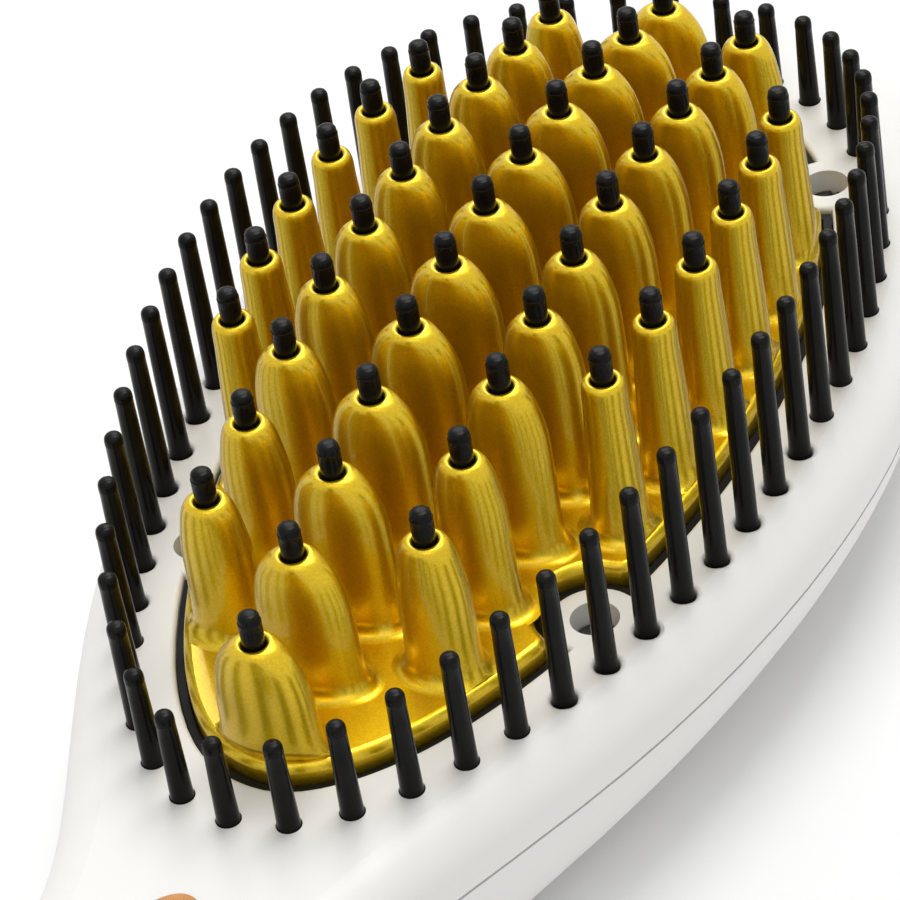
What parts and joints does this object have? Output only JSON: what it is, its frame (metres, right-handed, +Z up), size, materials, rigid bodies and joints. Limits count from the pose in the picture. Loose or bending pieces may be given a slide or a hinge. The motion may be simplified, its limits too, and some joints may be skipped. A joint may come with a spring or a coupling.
{
  "type": "hair straightening brush",
  "caption": "Electric hair straightening brush: white oval head with a gold heated plate of blade teeth with black tips, a ring of bristles, and a handle with buttons and a cord swivel.",
  "frame": {"origin": "middle of the brush's length and width, on the flat underside that it rests on", "axes": "+X from the handle towards the tip of the head, +Y across to the left side, +Z up through the teeth"},
  "size_m": [0.2852, 0.0688, 0.0448],
  "materials": {
    "white_shell": "satin white moulded plastic with a soft gloss",
    "gold_plate": "cast aluminium with a glossy gold metallic ceramic coat and fine sparkle",
    "black_nylon": "satin black heat-proof nylon",
    "black_frame": "matt black heat-proof plastic",
    "steel_screw": "blackened steel, lightly turned",
    "copper_bezel": "brown copper metallic lacquer",
    "panel_black": "glossy black panel",
    "window_smoke": "smoked clear plastic",
    "button_grey": "satin dark grey button",
    "ceramic": "matt pale ceramic",
    "spring_steel": "rolled sheet steel",
    "mica": "pressed mica sheet",
    "sensor_glass": "epoxy bead",
    "fuse_metal": "drawn aluminium can",
    "wire_red": "silicone sleeve",
    "wire_white": "silicone sleeve",
    "board_green": "solder mask",
    "part_black": "moulded component body",
    "terminal_green": "moulded terminal block",
    "capacitor_sleeve": "shrunk sleeve",
    "display_glass": "display glass",
    "swivel_white": "smooth white plastic",
    "contact_brass": "bright brass"
  },
  "bodies": {
    "case": {"upper_shell": "white_shell", "lower_shell": "white_shell", "heating_plate": "gold_plate", "blade_teeth": "gold_plate", "cone_teeth": "gold_plate", "tooth_tips": "black_nylon", "bristles": "black_nylon", "bristle_retainer": "black_frame", "plate_frame": "black_frame", "heat_shield": "mica", "heater": "ceramic", "heater_clamp": "spring_steel", "thermal_fuse": "fuse_metal", "thermistor": "sensor_glass", "heater_leads": "wire_red", "sensor_leads": "wire_white", "head_screws": "steel_screw", "closing_screws": "steel_screw", "board_screws": "steel_screw", "control_board": "board_green", "terminal_block": "terminal_green", "triac": "part_black", "capacitor": "capacitor_sleeve", "display_module": "display_glass", "switches": "part_black", "bezel": "copper_bezel", "control_panel": "panel_black", "display_window": "window_smoke", "swivel_contacts": "contact_brass"},
    "plus_key": {"plus_button": "button_grey", "plus_plunger": "part_black"},
    "minus_key": {"minus_button": "button_grey", "minus_plunger": "part_black"},
    "power_key": {"power_button": "button_grey", "power_plunger": "part_black"},
    "swivel": {"cord_swivel": "swivel_white", "slip_rings": "contact_brass"}
  },
  "joints": [
    {"name": "plus_press", "type": "slide", "parent": "case", "child": "plus_key", "axis": [0, 0, -1], "range_m": [0, 0.0006], "stiffness_N_per_m": 800},
    {"name": "minus_press", "type": "slide", "parent": "case", "child": "minus_key", "axis": [0, 0, -1], "range_m": [0, 0.0006], "stiffness_N_per_m": 800},
    {"name": "power_press", "type": "slide", "parent": "case", "child": "power_key", "axis": [0, 0, -1], "range_m": [0, 0.0006], "stiffness_N_per_m": 800},
    {"name": "cord_swivel_turn", "type": "hinge", "parent": "case", "child": "swivel", "pos_m": [-0.13, 0, 0.0086], "axis": [1, 0, 0], "continuous": true}
  ]
}
